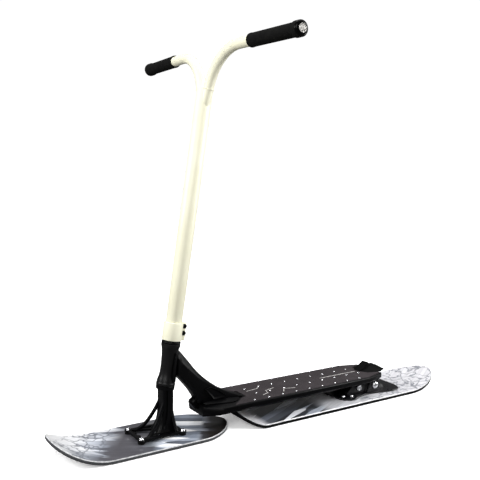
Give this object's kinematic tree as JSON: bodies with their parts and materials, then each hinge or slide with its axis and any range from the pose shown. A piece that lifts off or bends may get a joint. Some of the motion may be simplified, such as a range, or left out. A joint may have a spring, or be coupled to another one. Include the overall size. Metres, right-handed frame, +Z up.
{
  "type": "snow scooter",
  "caption": "Snow scooter: a tall straight-gripped handlebar and fork steer a short front board on a free-turning headset, ahead of a studded deck bolted on a longer rear board.",
  "frame": {"origin": "on the ground, under the middle of the object's length and width", "axes": "+X forward, in the direction of travel; +Y to the rider's left; +Z up"},
  "size_m": [1.0749, 0.617, 0.8358],
  "materials": {
    "bar_paint": "satin cream powder coat on steel",
    "grip_rubber": "matt black ribbed rubber",
    "bar_end_plastic": "gloss black plastic",
    "bright_steel": "polished zinc-plated steel",
    "bare_steel": "bare turned steel",
    "black_steel": "black oxide steel",
    "black_aluminium": "black anodised aluminium",
    "black_frame": "satin black powder coat on aluminium",
    "black_paint": "satin black powder coat on steel",
    "pad_rubber": "matt black rubber",
    "board_laminate": "gloss printed top over a black core",
    "deck_sheet": "matt charcoal traction sheet with bright studs",
    "stop_plastic": "matt black plastic with a grained front face"
  },
  "bodies": {
    "chassis": {"head_tube": "black_frame", "upper_bearing": "bare_steel", "lower_bearing": "bare_steel", "neck": "black_frame", "left_neck_shoulder": "black_frame", "right_neck_shoulder": "black_frame", "deck": "black_frame", "traction_sheet": "deck_sheet", "foot_stop": "stop_plastic", "foot_stop_screw": "black_steel", "bracket_base_plate": "black_frame", "left_bracket_upright": "black_frame", "right_bracket_upright": "black_frame", "deck_hanger": "black_frame", "front_bracket_bolt": "bright_steel", "front_bracket_nut": "bright_steel", "rear_axle_bolt": "bright_steel", "rear_axle_nut": "bright_steel", "left_front_bracket_screw": "bright_steel", "right_front_bracket_screw": "bright_steel", "left_middle_bracket_screw": "bright_steel", "right_middle_bracket_screw": "bright_steel", "left_rear_bracket_screw": "black_steel", "right_rear_bracket_screw": "black_steel", "rear_board": "board_laminate"},
    "steering": {"down_tube": "bar_paint", "left_handlebar_arm": "bar_paint", "right_handlebar_arm": "bar_paint", "left_grip": "grip_rubber", "right_grip": "grip_rubber", "left_bar_end": "bar_end_plastic", "right_bar_end": "bar_end_plastic", "left_bar_end_cap": "bright_steel", "right_bar_end_cap": "bright_steel", "bar_clamp": "bar_paint", "upper_clamp_bolt": "black_steel", "lower_clamp_bolt": "black_steel", "steerer_tube": "bare_steel", "compression_cap": "black_aluminium", "compression_bolt": "bright_steel", "star_nut": "bare_steel", "compression_ring": "black_aluminium", "headset_cover": "black_aluminium", "fork_crown": "black_paint", "fork_column": "black_paint", "front_left_fork_leg": "black_paint", "front_right_fork_leg": "black_paint", "rear_left_fork_leg": "black_paint", "rear_right_fork_leg": "black_paint", "fork_base": "black_paint", "front_left_foot_pad": "pad_rubber", "front_right_foot_pad": "pad_rubber", "rear_left_foot_pad": "pad_rubber", "rear_right_foot_pad": "pad_rubber", "front_left_foot_bolt": "bright_steel", "front_right_foot_bolt": "bright_steel", "rear_left_foot_bolt": "bright_steel", "rear_right_foot_bolt": "bright_steel", "front_board": "board_laminate"}
  },
  "joints": [
    {"name": "steering_turn", "type": "hinge", "parent": "chassis", "child": "steering", "pos_m": [0.27426, 0, 0.15931], "axis": [-0.1444, 0, 0.9895], "continuous": true}
  ]
}
